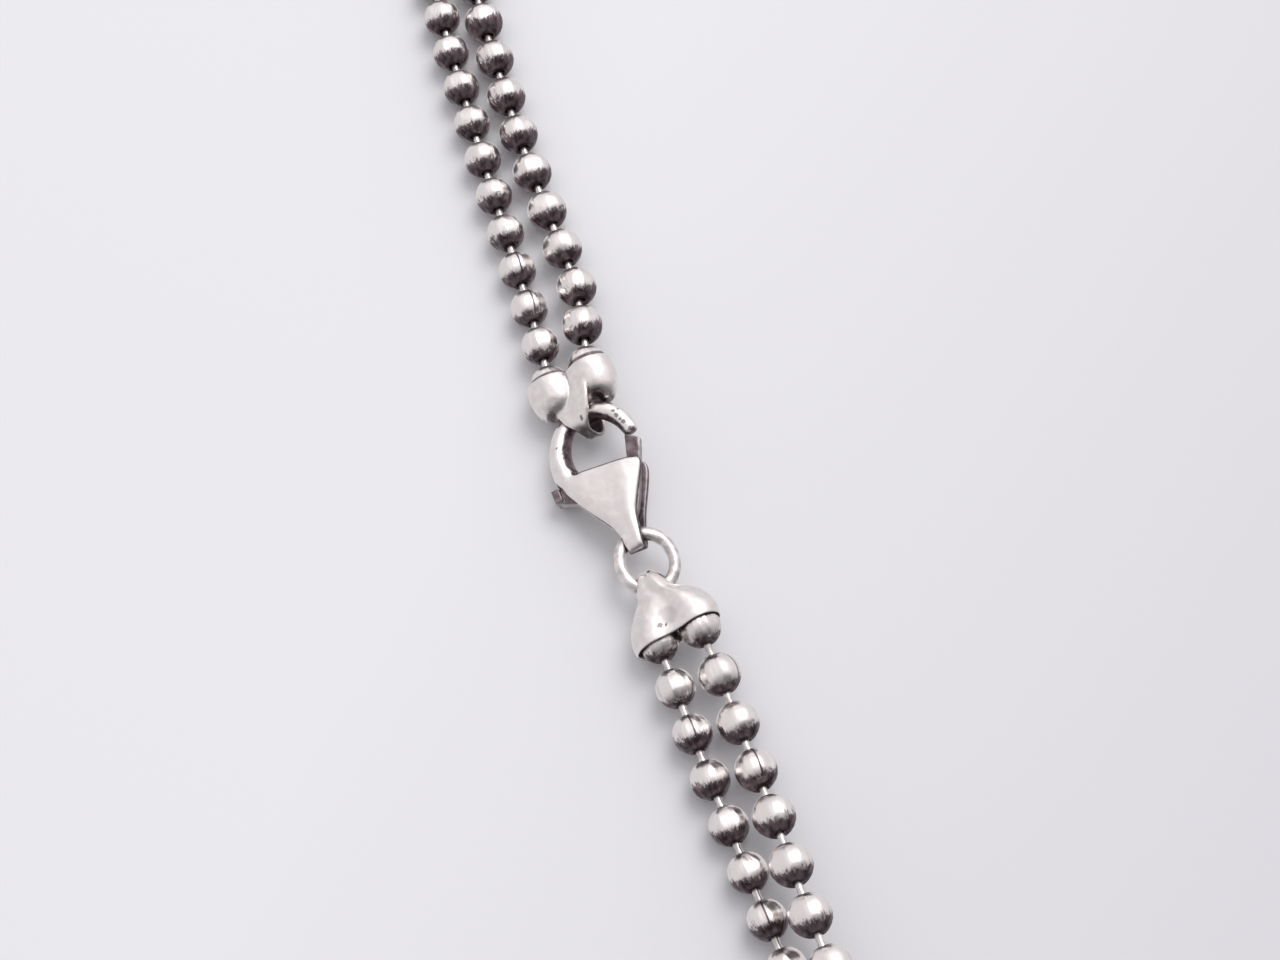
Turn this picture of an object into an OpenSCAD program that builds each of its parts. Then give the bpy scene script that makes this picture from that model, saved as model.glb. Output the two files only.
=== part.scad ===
// Necklace of two strands of hollow metal beads, lying closed in a long loop.
// The strands end in two double cups. One cup's bail hangs in the hook of a
// lobster clasp, the other's hangs in a jump ring through the clasp's tail.
// The loop lies on the plane z = 0, long way along Y, clasp on the -X side.

/* [Beads] */
// Diameter of a bead of the outer strand
outer_bead_d = 2.95; // [2.8:0.05:2.95]
// Diameter of a bead of the inner strand
inner_bead_d = 3.15; // [3:0.05:3.15]
// Diameter of the hole through a bead
bead_hole_d = 1; // [0.8:0.05:1.1]
// Number of beads in the outer strand
outer_count = 118; // [112:1:118]
// Number of beads in the inner strand
inner_count = 112; // [106:1:114]
// Thickness of the wire through the beads
wire_d = 0.6; // [0.4:0.05:0.65]

/* [End cups] */
// Outside radius of one cup
cup_r = 1.78; // [1.75:0.01:1.82]
// Thickness of the cup's sheet
cup_wall = 0.16; // [0.14:0.01:0.17]
// How far the rim passes the middle of the bead
cup_rim = 0.1; // [0.05:0.05:0.2]
// Width of the bail
bail_w = 1.2; // [1:0.1:1.4]
// Height of the long hole through the bail
bail_hole = 1.6; // [1.45:0.05:1.65]

/* [Clasp] */
// Thickness of the clasp's body
body_t = 2.6; // [2.4:0.1:2.7]
// Width of the slot for the lever
slot_w = 1.1; // [1:0.05:1.2]
// Thickness of the lever
lever_t = 0.9; // [0.7:0.05:0.95]
// Diameter of the lever's pin
pin_d = 0.7; // [0.6:0.05:0.8]
// Diameter of the hole through the clasp's tail
tail_hole_d = 1.62; // [1.6:0.01:1.65]
// How far the clasp leans, its right side up
clasp_roll = 16; // [12:1:18]

/* [Jump ring] */
// Radius of the ring's round ends, to the middle of the wire
ring_r = 1.92; // [1.9:0.01:1.94]
// Length of the straight part between the ring's round ends
ring_straight = 0.5; // [0.46:0.02:0.52]
// Thickness of the ring's wire
ring_wire = 0.9; // [0.7:0.05:0.95]

/* [Hidden] */
$fn = 48;

// Middle of the two strands from the upper cups round the loop to the lower
// ones: x, y, distance between the strands, extra height of the right one.
route = [
    [-38.1, 7.0, 3.1, 0.9], [-37.7, 10.8, 3.4, 0.7], [-37.4, 14.4, 3.8, 0.3],
    [-37.5, 20.5, 3.5, 0], [-37.6, 27, 3.2, 0], [-37.5, 34, 3.1, 0],
    [-37.3, 40, 3.1, 0], [-36.4, 49, 3.2, 0], [-33.6, 59.5, 3.3, 0],
    [-27.5, 70.5, 3.3, 0], [-17, 79.5, 3.3, 0], [-3, 84, 3.3, 0],
    [12, 82, 3.3, 0], [24.5, 74, 3.4, 0], [32.5, 62.5, 3.4, 0],
    [37, 49, 3.3, 0], [38.6, 35, 3.3, 0], [38.9, 21, 3.3, 0],
    [38.6, 7, 3.4, 0], [38.8, -7, 3.4, 0], [38.8, -21, 3.3, 0],
    [38, -35, 3.3, 0], [35.5, -49, 3.3, 0], [30, -62, 3.3, 0],
    [20.5, -73.5, 3.3, 0], [7.5, -81.5, 3.3, 0], [-6.5, -84, 3.3, 0],
    [-18.5, -79.5, 3.3, 0], [-27, -70, 3.3, 0], [-32, -59.5, 3.3, 0],
    [-34.3, -49, 3, 1.1], [-35.1, -40, 2.4, 2.05], [-35.5, -33.5, 2.55, 1.85],
    [-35.7, -28.2, 2.9, 1.2], [-35.9, -23.8, 3.1, 0.4], [-36.1, -19, 3.2, 0.4],
    [-36.4, -14.3, 3.1, 0.9]];
// Steps of the curve between two points of the route
STEPS = 16;
// Pitch of the beads near the clasp: beads, then pitch of left and right strand
NEAR_UP = 10;
NEAR_DOWN = 8;
pitch_left = [3.32, 3.42];
pitch_right = [3.53, 3.61];

function spline(a, b, c, d, t) =
    0.5 * (2 * b + (c - a) * t + (2 * a - 5 * b + 4 * c - d) * t * t
        + (3 * b - a - 3 * c + d) * t * t * t);
function smooth(p, n) = [
    for (i = [0:len(p) - 2]) let (a = p[max(i - 1, 0)], b = p[i],
        c = p[i + 1], d = p[min(i + 2, len(p) - 1)])
        for (k = [0:n - 1]) spline(a, b, c, d, k / n),
    p[len(p) - 1]];
function unit(v) = v / norm(v);
function rot_x(p, a) = [p.x, p.y * cos(a) - p.z * sin(a),
    p.y * sin(a) + p.z * cos(a)];
function rot_y(p, a) = [p.x * cos(a) + p.z * sin(a), p.y,
    -p.x * sin(a) + p.z * cos(a)];
function rot_z(p, a) = [p.x * cos(a) - p.y * sin(a),
    p.x * sin(a) + p.y * cos(a), p.z];
function place(p, turn, roll, lean, at) =
    rot_z(rot_x(rot_y(p, roll), lean), turn) + at;

// Upper and lower end cups: turn about Z, roll, lean and place of the point
// between the two cups
CUP_X = 1.56;
upper_at = [-38.11, 7.08, 2.3];
upper_turn = 4;
upper_roll = -17;
upper_lean = 1;
lower_at = [-36.42, -14.3, 2.3];
lower_turn = 181;
lower_roll = 16;
lower_lean = 1;
// How far each bail stands off to the left of the middle
upper_skew = -0.35;
lower_skew = 0.5;
function upper_cup(side) =
    place([side * CUP_X, 0, 0], upper_turn, upper_roll, upper_lean, upper_at);
function lower_cup(side) =
    place([-side * CUP_X, 0, 0], lower_turn, lower_roll, lower_lean, lower_at);

// One strand as a fine line: side is -1 left, 1 right of the way upward
curve = smooth(route, STEPS);
LAST = len(curve) - 1;
function heading(i) =
    unit([curve[min(i + 1, LAST)].x - curve[max(i - 1, 0)].x,
        curve[min(i + 1, LAST)].y - curve[max(i - 1, 0)].y]);
function blend_in(i, n) = let (t = min(1, i / n)) t * t * (3 - 2 * t);
function bead_d(side) = side > 0 ? inner_bead_d : outer_bead_d;
function beside(i, side) =
    let (h = heading(i), g = side * curve[i][2] / 2,
        lift = side > 0 ? max(0, curve[i][3]) : 0)
    [curve[i].x + h.y * g, curve[i].y - h.x * g, bead_d(side) / 2 + lift];
// Near the clasp each strand bends over to the middle of its cup
function strand_point(i, side) =
    let (near = 2 * STEPS,
        up = upper_cup(side) - beside(0, side),
        down = lower_cup(side) - beside(LAST, side))
    beside(i, side) + up * (1 - blend_in(i, near))
        + down * (1 - blend_in(LAST - i, near));
function strand_line(side) = [for (i = [0:LAST]) strand_point(i, side)];
function lengths(p) = [for (i = 0, s = 0; i < len(p);
    s = s + (i < len(p) - 1 ? norm(p[i + 1] - p[i]) : 0), i = i + 1) s];

// Places of the beads along a strand: close to the clasp the pitch is given,
// over the rest of the loop the beads share what is left
function bead_runs(total, count, near) =
    let (gaps = count - 1,
        rest = (total - NEAR_UP * near[0] - NEAR_DOWN * near[1])
            / (gaps - NEAR_UP - NEAR_DOWN))
    [for (i = [0:gaps])
        i <= NEAR_UP ? i * near[0]
        : i >= gaps - NEAR_DOWN ? total - (gaps - i) * near[1]
        : NEAR_UP * near[0] + (i - NEAR_UP) * rest];
function bead_centres(side, count, near) =
    let (line = strand_line(side), s = lengths(line),
        tx = [for (i = [0:LAST]) [s[i], line[i].x]],
        ty = [for (i = [0:LAST]) [s[i], line[i].y]],
        tz = [for (i = [0:LAST]) [s[i], line[i].z]])
    [for (r = bead_runs(s[LAST], count, near))
        [lookup(r, tx), lookup(r, ty), lookup(r, tz)]];
beads_l = bead_centres(-1, outer_count, pitch_left);
beads_r = bead_centres(1, inner_count, pitch_right);
function way(p, i) = unit(p[min(i + 1, len(p) - 1)] - p[max(i - 1, 0)]);

// Closed solid through rings of points, each ring with the same count
function loft_faces(n, k) = concat(
    [[for (j = [k - 1:-1:0]) j]],
    [for (i = [0:n - 2]) for (j = [0:k - 1]) each [
        [i * k + j, i * k + (j + 1) % k, (i + 1) * k + (j + 1) % k],
        [i * k + j, (i + 1) * k + (j + 1) % k, (i + 1) * k + j]]],
    [[for (j = [0:k - 1]) (n - 1) * k + j]]);
module loft(rings) {
    polyhedron(points = [for (r = rings) each r],
        faces = loft_faces(len(rings), len(rings[0])), convexity = 6);
}
function pow_s(x, e) = sign(x) * pow(abs(x), e);
// Rounded-square ring of k points in the plane of u and w
function section(left, right, v, half, k, e) = [
    for (j = [0:k - 1]) let (a = 360 * j / k + 180 / k)
        [(left + right) / 2 + (right - left) / 2 * pow_s(cos(a), e), v,
            half * pow_s(sin(a), e)]];

// Hook: middle u, v, half width and half thickness of its wire
hook = [
    [-2.85, 3.2, 0.8, 1.2], [-2.95, 4.4, 0.9, 1.25], [-2.9, 5.2, 0.85, 1.2],
    [-2.8, 5.8, 0.8, 1.15], [-2.5, 6.5, 0.76, 1.05], [-2.1, 7.2, 0.72, 0.92],
    [-1.5, 7.75, 0.68, 0.78], [-0.6, 8.1, 0.64, 0.66], [0.3, 8.2, 0.64, 0.64],
    [0.95, 8.1, 0.65, 0.63], [1.6, 7.7, 0.68, 0.63], [2.15, 7.05, 0.64, 0.6],
    [2.5, 6.3, 0.56, 0.56], [2.64, 5.45, 0.48, 0.5]];
hook_fine = smooth(hook, 2);
function hook_ring(i, k) =
    let (m = len(hook_fine) - 1, a = hook_fine[max(i - 1, 0)],
        b = hook_fine[min(i + 1, m)], c = hook_fine[i],
        t = unit([b.x - a.x, b.y - a.y]))
    [for (j = [0:k - 1]) let (q = 360 * j / k)
        [c.x + t.y * c[2] * cos(q), c.y - t.x * c[2] * cos(q),
            c[3] * sin(q)]];
// Body of the clasp: v, left u, right u, share of the full thickness, slant
plates = [
    [-1.5, -0.85, 0.92, 0.73, 0], [-1.1, -0.95, 1.05, 0.85, 0],
    [-0.5, -1.28, 1.25, 0.92, 0], [0.3, -1.8, 1.65, 1, 0],
    [1.2, -2.35, 2.1, 1, 0], [2.1, -2.85, 2.5, 1, 0],
    [2.8, -3.3, 2.68, 1, -0.05], [3.3, -3.5, 2.62, 0.96, -0.1],
    [3.62, -3.35, 2.4, 0.81, -0.14]];
clasp_at = [-37.4, -4.31, 2.2];
clasp_turn = 4;
TAIL_AT = [-0.02, -2.2, 0];
TAIL_TURN = -4;
TAIL_R = 1.1;
TAIL_T = 1.3;
tail_hole = rot_z(rot_y(TAIL_AT, -clasp_roll), clasp_turn) + clasp_at;
// Play of the pin in the body and of the lever on the pin
PIN_FIT = 0.04;
LEVER_FIT = 0.1;
// Lever: outline in the plane of the slot, the pin at its origin
gate_end = 5.66;
// Width of the thumb tab, which is wider than the slot
TAB_W = 1.5;
lever_line = [
    [1.05, -0.35], [1.5, 0.5], [1.95, 1.5], [2.4, 2.7], [2.85, 3.8],
    for (a = [55:3:67]) [gate_end * cos(a), gate_end * sin(a)],
    [1.95, 4.3], [1.75, 3.6], [1.1, 2.75], [0, 2.45], [-1.2, 2.7],
    [-2.4, 3.1], [-3.5, 3.5], [-4.1, 3.5], [-4.2, 2.9], [-3.9, 2.4],
    [-2.9, 1.95], [-1.9, 1.2], [-1.2, 0.4], [-1.05, -0.4], [-0.6, -0.95],
    [0, -1.12], [0.6, -0.95]];
slot_line = [
    [4.5, -1.2], [4.5, 4.6], [-1.5, 4.6], [-1.9, 3.95], [-2.3, 3.62],
    [-5, 3.62], [-5, 0.1], [-1.6, -0.05], [-1.15, -0.45], [-0.85, -0.95],
    [-0.4, -1.3], [0.4, -1.32]];

module bead(p, d, size) {
    translate(p) rotate([0, acos(d.z), atan2(d.y, d.x)]) difference() {
        sphere(d = size);
        cylinder(h = size + 1, d = bead_hole_d, center = true);
    }
}

module beads_left() {
    color([0.86, 0.84, 0.82])
        for (i = [0:len(beads_l) - 1])
            bead(beads_l[i], way(beads_l, i), outer_bead_d);
}

module beads_right() {
    color([0.84, 0.83, 0.82])
        for (i = [0:len(beads_r) - 1])
            bead(beads_r[i], way(beads_r, i), inner_bead_d);
}

// Wire of six sides through the middles of the beads
module wire(p) {
    n = len(p);
    loft([for (i = [0:n - 1]) let (d = way(p, i), s = unit([d.y, -d.x, 0]),
        u = cross(s, d)) [for (j = [0:5])
            p[i] + (s * cos(60 * j) + u * sin(60 * j)) * wire_d / 2]]);
}

module wire_left() {
    color([0.72, 0.70, 0.68]) wire(beads_l);
}

module wire_right() {
    color([0.72, 0.70, 0.68]) wire(beads_r);
}

// Two cups side by side that narrow to a tongue and a bail. The cups open
// toward +Y, the bail's hole runs along X.
BAIL_V = -4.05;
BAIL_R = 1.1;
// Length of the bail's hole beyond its round ends
BAIL_LONG = 1.1;
// Length of every cut that runs right through
THROUGH = 8;
// Shell between the cups and the bail: v, half width, half thickness
shell = [
    [-4.5, 0.62, 1], [-4, 0.95, 1], [-3.5, 1.35, 1.02], [-3, 1.95, 1.08],
    [-2.4, 2.6, 1.25], [-1.8, 2.95, 1.4], [-1.1, 3.1, 1.5],
    [-0.5, 2.9, 1.42], [0, 1.6, 1.15]];
// Round solid about Y, from the closed end of a cup to a flat mouth, which may
// stand past the middle
module dome(r, mouth) {
    rotate([-90, 0, 0]) rotate_extrude() polygon([
        for (a = [-90:15:75]) if (r * sin(a) < mouth - 0.1)
            [r * cos(a), r * sin(a)],
        [sqrt(r * r - min(mouth, r * 0.6) ^ 2), mouth], [0, mouth]]);
}
module end_cup(skew, bail_turn) {
    difference() {
        union() {
            loft([for (r = shell) let (x = skew * min(0, r[0]) / BAIL_V)
                section(x - r[1], x + r[1], r[0], r[2], 16, 0.75)]);
            for (s = [-1, 1]) translate([s * CUP_X, 0, 0])
                dome(cup_r, cup_rim);
            translate([skew, BAIL_V, 0]) rotate([0, 90, bail_turn])
                cylinder(h = bail_w, r = BAIL_R, center = true);
        }
        for (s = [-1, 1]) translate([s * CUP_X, 0, 0])
            dome(cup_r - cup_wall, 3);
        for (v = [BAIL_V, BAIL_V + BAIL_LONG]) translate([0, v, 0])
            rotate([0, 90, 0])
                cylinder(h = THROUGH, d = bail_hole, center = true);
        translate([-THROUGH / 2, BAIL_V, -bail_hole / 2])
            cube([THROUGH, BAIL_LONG, bail_hole]);
    }
}

module end_cup_upper() {
    color([0.80, 0.78, 0.76]) translate(upper_at)
        rotate([0, 0, upper_turn]) rotate([upper_lean, 0, 0])
        rotate([0, upper_roll, 0]) end_cup(upper_skew, -20);
}

module end_cup_lower() {
    color([0.80, 0.78, 0.76]) translate(lower_at)
        rotate([0, 0, lower_turn]) rotate([lower_lean, 0, 0])
        rotate([0, lower_roll, 0]) end_cup(lower_skew, -10);
}

module clasp_frame() {
    translate(clasp_at) rotate([0, 0, clasp_turn]) rotate([0, -clasp_roll, 0])
        children();
}

module clasp_body() {
    color([0.82, 0.80, 0.78]) clasp_frame() difference() {
        union() {
            loft([for (i = [0:len(hook_fine) - 1]) hook_ring(i, 12)]);
            loft([for (r = plates) [for (p = section(r[1], r[2], r[0],
                r[3] * body_t / 2, 16, 0.6)) p + [0, p.x * r[4], 0]]]);
            translate(TAIL_AT) rotate([0, 90, TAIL_TURN])
                cylinder(h = TAIL_T, r = TAIL_R, center = true);
        }
        linear_extrude(slot_w, center = true) polygon(slot_line);
        cylinder(h = THROUGH, d = pin_d + PIN_FIT, center = true);
        translate(TAIL_AT) rotate([0, 90, TAIL_TURN])
            cylinder(h = THROUGH, d = tail_hole_d, center = true);
    }
}

module clasp_lever() {
    color([0.62, 0.60, 0.58]) clasp_frame() difference() {
        union() {
            linear_extrude(lever_t, center = true) polygon(lever_line);
            translate([-4.25, 2.5, -TAB_W / 2]) cube([0.6, 1, TAB_W]);
        }
        cylinder(h = THROUGH, d = pin_d + LEVER_FIT, center = true);
    }
}

module clasp_pin() {
    color([0.60, 0.58, 0.56]) clasp_frame()
        cylinder(h = body_t - 0.1, d = pin_d, center = true);
}

// The ring runs through the clasp's tail and the lower cup's bail
lower_bail = place([lower_skew, BAIL_V, 0], lower_turn, lower_roll,
    lower_lean, lower_at);
ring_mid = (tail_hole + lower_bail) / 2 + [0.2, -0.03, 0];
ring_way = lower_bail - tail_hole;
module jump_ring() {
    color([0.78, 0.76, 0.74]) translate(ring_mid)
        rotate([0, 0, atan2(ring_way.y, ring_way.x)])
        rotate([0, -atan2(ring_way.z, norm([ring_way.x, ring_way.y])), 0])
        for (s = [-1, 1]) {
            translate([s * ring_straight / 2, 0, 0]) rotate([0, 0, -90 * s])
                rotate_extrude(angle = 180) translate([ring_r, 0])
                circle(d = ring_wire);
            translate([0, s * ring_r, 0]) rotate([0, 90, 0])
                cylinder(h = ring_straight, d = ring_wire, center = true);
        }
}

beads_left();
beads_right();
wire_left();
wire_right();
end_cup_upper();
end_cup_lower();
clasp_body();
clasp_lever();
clasp_pin();
jump_ring();
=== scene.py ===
# %% [markdown]
# # A double-strand bead chain necklace with a lobster clasp
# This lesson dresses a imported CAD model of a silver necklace. The CAD frame says
# where everything is: each bead, the end cups, the clasp and its lever. Here each
# of these gets the rounded, worn form that silver has, and its finish.
# We begin by loading the frame. Everything that is made later sits on it.

# %% Load the frame
import math
import random
import bmesh
import bpy
from mathutils import Matrix, Vector


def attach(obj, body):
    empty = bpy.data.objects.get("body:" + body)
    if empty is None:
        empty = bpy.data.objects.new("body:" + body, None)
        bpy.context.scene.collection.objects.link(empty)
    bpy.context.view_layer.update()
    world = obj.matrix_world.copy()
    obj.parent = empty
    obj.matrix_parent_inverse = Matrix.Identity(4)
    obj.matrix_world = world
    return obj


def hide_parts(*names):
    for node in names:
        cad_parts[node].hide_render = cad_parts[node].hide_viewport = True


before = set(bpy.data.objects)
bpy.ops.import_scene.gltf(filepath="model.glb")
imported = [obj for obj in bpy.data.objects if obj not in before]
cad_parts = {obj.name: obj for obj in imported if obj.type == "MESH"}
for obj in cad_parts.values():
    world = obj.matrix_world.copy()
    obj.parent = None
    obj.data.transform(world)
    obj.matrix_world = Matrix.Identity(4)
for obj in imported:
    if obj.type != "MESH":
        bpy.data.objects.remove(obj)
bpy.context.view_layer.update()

MM = 0.001
print("CAD nodes:", ", ".join(sorted(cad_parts)))

# %% [markdown]
# ## The camera
# The photograph looks down steeply at the clasp. A long lens far away and a short
# lens close by give the same framing but not the same perspective. The beads grow
# by a fifth from the top of the picture to its bottom, so the camera is close:
# 165 mm away. It looks 67 degrees down and 17 degrees to the right of the loop's
# long way.

# %% Camera
LOOK_AT = Vector((-35.5, -2, 1.5)) * MM
LOOK_DOWN = math.radians(67)
LOOK_ASIDE = math.radians(17)
CAMERA_FAR = 165 * MM
PICTURE_W = 1280
FOCAL_PX = 2300
SENSOR = 36

ahead = Vector((math.sin(LOOK_ASIDE), math.cos(LOOK_ASIDE), 0))
to_right = Vector((ahead.y, -ahead.x, 0))
look = ahead * math.cos(LOOK_DOWN) - Vector((0, 0, math.sin(LOOK_DOWN)))
lens = bpy.data.cameras.new("camera")
lens.sensor_width = SENSOR
lens.lens = SENSOR * FOCAL_PX / PICTURE_W
lens.clip_start = 1 * MM
camera = bpy.data.objects.new("camera", lens)
camera.location = LOOK_AT - look * CAMERA_FAR
camera.rotation_euler = look.to_track_quat("-Z", "Y").to_euler()
bpy.context.scene.collection.objects.link(camera)
bpy.context.scene.camera = camera
print("lens in mm:", round(lens.lens, 1))

# %% [markdown]
# ## Helpers for modelling by operators
# An operator acts on all that is selected, so each step first selects exactly
# what it should change. `begin` adds a primitive with nothing else selected.
# `choose` selects whole pieces, and `pick` selects parts of one in edit mode, by
# their place and direction. The transform operators get their centre by name,
# because with no window they ignore the pivot setting, and turning goes the
# other way round.


# %% Modelling helpers
def begin(name, add, **settings):
    """Adds a primitive as a new piece and opens it in edit mode."""
    bpy.ops.object.select_all(action="DESELECT")
    add(**settings)
    piece = bpy.context.object
    piece.name = piece.data.name = name
    bpy.ops.object.mode_set(mode="EDIT")
    return piece


def choose(pieces):
    """Selects only these pieces and makes the first one active."""
    bpy.ops.object.select_all(action="DESELECT")
    for piece in pieces:
        piece.select_set(True)
    bpy.context.view_layer.objects.active = pieces[0]


def pick(piece, kind, test):
    """Selects the corners, edges or faces whose middle and direction pass the test."""
    bpy.ops.mesh.select_mode(type=kind)
    bpy.ops.mesh.select_all(action="DESELECT")
    mesh = bmesh.from_edit_mesh(piece.data)
    found = []
    if kind == "VERT":
        found = [v for v in mesh.verts if test(v.co / MM, v.normal)]
    elif kind == "FACE":
        found = [f for f in mesh.faces if test(f.calc_center_median() / MM, f.normal)]
    else:
        for edge in mesh.edges:
            a, b = [v.co for v in edge.verts]
            if test((a + b) / 2 / MM, (b - a).normalized()):
                found.append(edge)
    for part in found:
        part.select_set(True)
    mesh.select_flush(True)
    bmesh.update_edit_mesh(piece.data)
    return len(found)


def move(x=0, y=0, z=0):
    """Moves what is selected, in millimetres."""
    bpy.ops.transform.translate(value=(x * MM, y * MM, z * MM))


def scale(x=1, y=1, z=1, about=(0, 0, 0)):
    """Scales what is selected about a point in millimetres."""
    bpy.ops.transform.resize(value=(x, y, z), center_override=Vector(about) * MM)


def turn(degrees, axis, about=(0, 0, 0)):
    """Turns what is selected about a point, by the right-hand rule."""
    bpy.ops.transform.rotate(value=-math.radians(degrees), orient_axis=axis,
                             center_override=Vector(about) * MM)


def close_up(piece, levels=0):
    """Leaves edit mode and rounds the cage with a subdivision surface."""
    bpy.ops.mesh.select_all(action="SELECT")
    bpy.ops.mesh.normals_make_consistent(inside=False)
    bpy.ops.object.mode_set(mode="OBJECT")
    for face in piece.data.polygons:
        face.use_smooth = True
    if levels:
        rounding = piece.modifiers.new("rounding", "SUBSURF")
        rounding.levels = rounding.render_levels = levels
    print(piece.name, "cage of", len(piece.data.polygons), "faces")
    return piece


# %% [markdown]
# ## One bead
# The real bead is a hollow ball of thin sheet, with a hole at each end whose lip
# turns inward. A sphere primitive has poles where the holes must be. So the two
# pole corners are deleted, the rings round them become the lips, and a bridge
# joins them through the bead. A hundred copies follow, so the cage has only a
# few dozen faces, and one level of subdivision makes it round. That pulls the
# skin inside the cage, so the cage is made a little larger than the bead.

# %% Bead cage
BEAD_R = 1.5
HOLE_R = 0.5
LIP_DEPTH = 0.16
LIP_INNER = 0.86
BEAD_SIDES = 12
BEAD_RINGS = 7
CAGE_R = BEAD_R * 1.026
HOLE_CAGE_R = HOLE_R * 1.06

bead = begin("bead", bpy.ops.mesh.primitive_uv_sphere_add, segments=BEAD_SIDES,
             ring_count=BEAD_RINGS, radius=CAGE_R * MM)
pick(bead, "VERT", lambda p, n: abs(p.z) > CAGE_R * 0.99)
bpy.ops.mesh.delete(type="VERT")
ring_z = CAGE_R * math.cos(math.pi / BEAD_RINGS)
ring_r = math.sqrt(CAGE_R ** 2 - ring_z ** 2)
lip_z = math.sqrt(BEAD_R ** 2 - HOLE_R ** 2)
for end in (-1, 1):
    pick(bead, "VERT", lambda p, n: p.z * end > ring_z * 0.97)
    scale(HOLE_CAGE_R / ring_r, HOLE_CAGE_R / ring_r, 1)
    move(z=end * (lip_z - ring_z))
    bpy.ops.mesh.extrude_region_move()
    scale(LIP_INNER, LIP_INNER, 1)
    move(z=-end * LIP_DEPTH)
pick(bead, "EDGE", lambda p, n: math.hypot(p.x, p.y) < HOLE_R * 0.95 and abs(n.z) < 0.1)
bpy.ops.mesh.bridge_edge_loops()
close_up(bead, 1)

# %% Measure the bead
bpy.context.view_layer.update()
measured = bead.evaluated_get(bpy.context.evaluated_depsgraph_get()).dimensions / MM
print("bead across after rounding, mm:", [round(c, 3) for c in measured])

# %% [markdown]
# ## Where the beads sit
# The CAD strands already hold each bead's place, so nothing is measured twice.
# A copy of the strand is merged and taken apart into loose parts. The middle of
# each part's box is a bead's middle. Then the beads are put in order, each time
# stepping to the nearest one that is left.


# %% Copy of a CAD node
def merged_copy(node):
    """A copy of a CAD node with its corners merged, open in edit mode."""
    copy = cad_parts[node].copy()
    copy.data = copy.data.copy()
    copy.parent = None
    for key in list(copy.keys()):
        del copy[key]
    bpy.context.scene.collection.objects.link(copy)
    choose([copy])
    bpy.ops.object.mode_set(mode="EDIT")
    bpy.ops.mesh.select_all(action="SELECT")
    bpy.ops.mesh.remove_doubles(threshold=0.002 * MM)
    return copy


# %% Places of the beads
def loose_middles(node):
    """Middles of the loose parts of a CAD node, read from a copy of it."""
    merged_copy(node)
    bpy.ops.mesh.separate(type="LOOSE")
    bpy.ops.object.mode_set(mode="OBJECT")
    boxes = [part.bound_box for part in bpy.context.selected_objects]
    middles = [sum([Vector(corner) for corner in box], Vector()) / 8 for box in boxes]
    bpy.ops.object.delete()
    return middles


def in_order(middles, start):
    """Sorts places into a chain that begins nearest to a point."""
    left = list(middles)
    chain = []
    here = start
    while left:
        here = min(left, key=lambda p: (p - here).length)
        left.remove(here)
        chain.append(here)
    return chain


def neighbours(chain, i):
    """What comes before and after an entry, or the entry itself at an end."""
    return chain[max(i - 1, 0)], chain[min(i + 1, len(chain) - 1)]


def ways(chain):
    """Direction of the chain at each of its points."""
    pairs = [neighbours(chain, i) for i in range(len(chain))]
    return [(after - before).normalized() for before, after in pairs]


UPPER_CUP = Vector((-38.1, 7.0, 2.3)) * MM
left_chain = in_order(loose_middles("beads_left"), UPPER_CUP)
right_chain = in_order(loose_middles("beads_right"), UPPER_CUP)
print("beads:", len(left_chain), "left and", len(right_chain), "right")

# %% [markdown]
# ## The strands of beads
# Every bead of the real chain is a little different: it lies at its own turn, and it
# is darker by its own amount. Each copy carries two attributes for the
# finish to read. `bead_place` is the spot within the bead, in millimetres, so a
# pattern turns with the bead. `bead_tone` is one number for the whole bead: it sets
# how far the painted shade on the bead's low side reaches, and it shifts the streaks.
# A bead is rolled from sheet, which leaves a fine seam from hole to hole. Most
# seams lie underneath. The few that show get their own turn.

# %% String the beads
OUTER_BEAD = 2.95
INNER_BEAD = 3.15
SEAMS_UP_LEFT = {2: 75, 3: 80, 111: 95, 115: 88}
SEAMS_UP_RIGHT = {108: 82, 110: 35}
# Tones per bead: how far the painted shade on its low side reaches
OUTER_TONES = {0: 0.3, 1: 0.45, 2: 0.58, 3: 0.6, 4: 0.66, 5: 0.7, 6: 0.72, 7: 0.75, 8: 0.75, 9: 0.8,
               10: 0.8, 117: 0.3, 116: 0.35, 115: 0.75, 114: 0.75, 113: 0.72, 112: 0.7, 111: 0.75}
INNER_TONES = {0: 0.2, 1: 0.75, 2: 0.68, 3: 0.66, 4: 0.68, 5: 0.72, 6: 0.74, 7: 0.78, 8: 0.8,
               9: 0.85, 111: 0.27, 110: 0.3, 109: 0.55, 108: 0.7, 107: 0.78, 106: 0.75, 105: 0.75}
USUAL_TONE = 0.72
TONE_SPREAD = 0.08
SEAM_DOWN = (215, 325)


def stamp_place(piece):
    """Stores the place of every corner as an attribute, in millimetres."""
    place = piece.data.attributes.new("bead_place", "FLOAT_VECTOR", "POINT")
    flat = [c for v in piece.data.vertices for c in v.co / MM]
    place.data.foreach_set("vector", flat)


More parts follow.
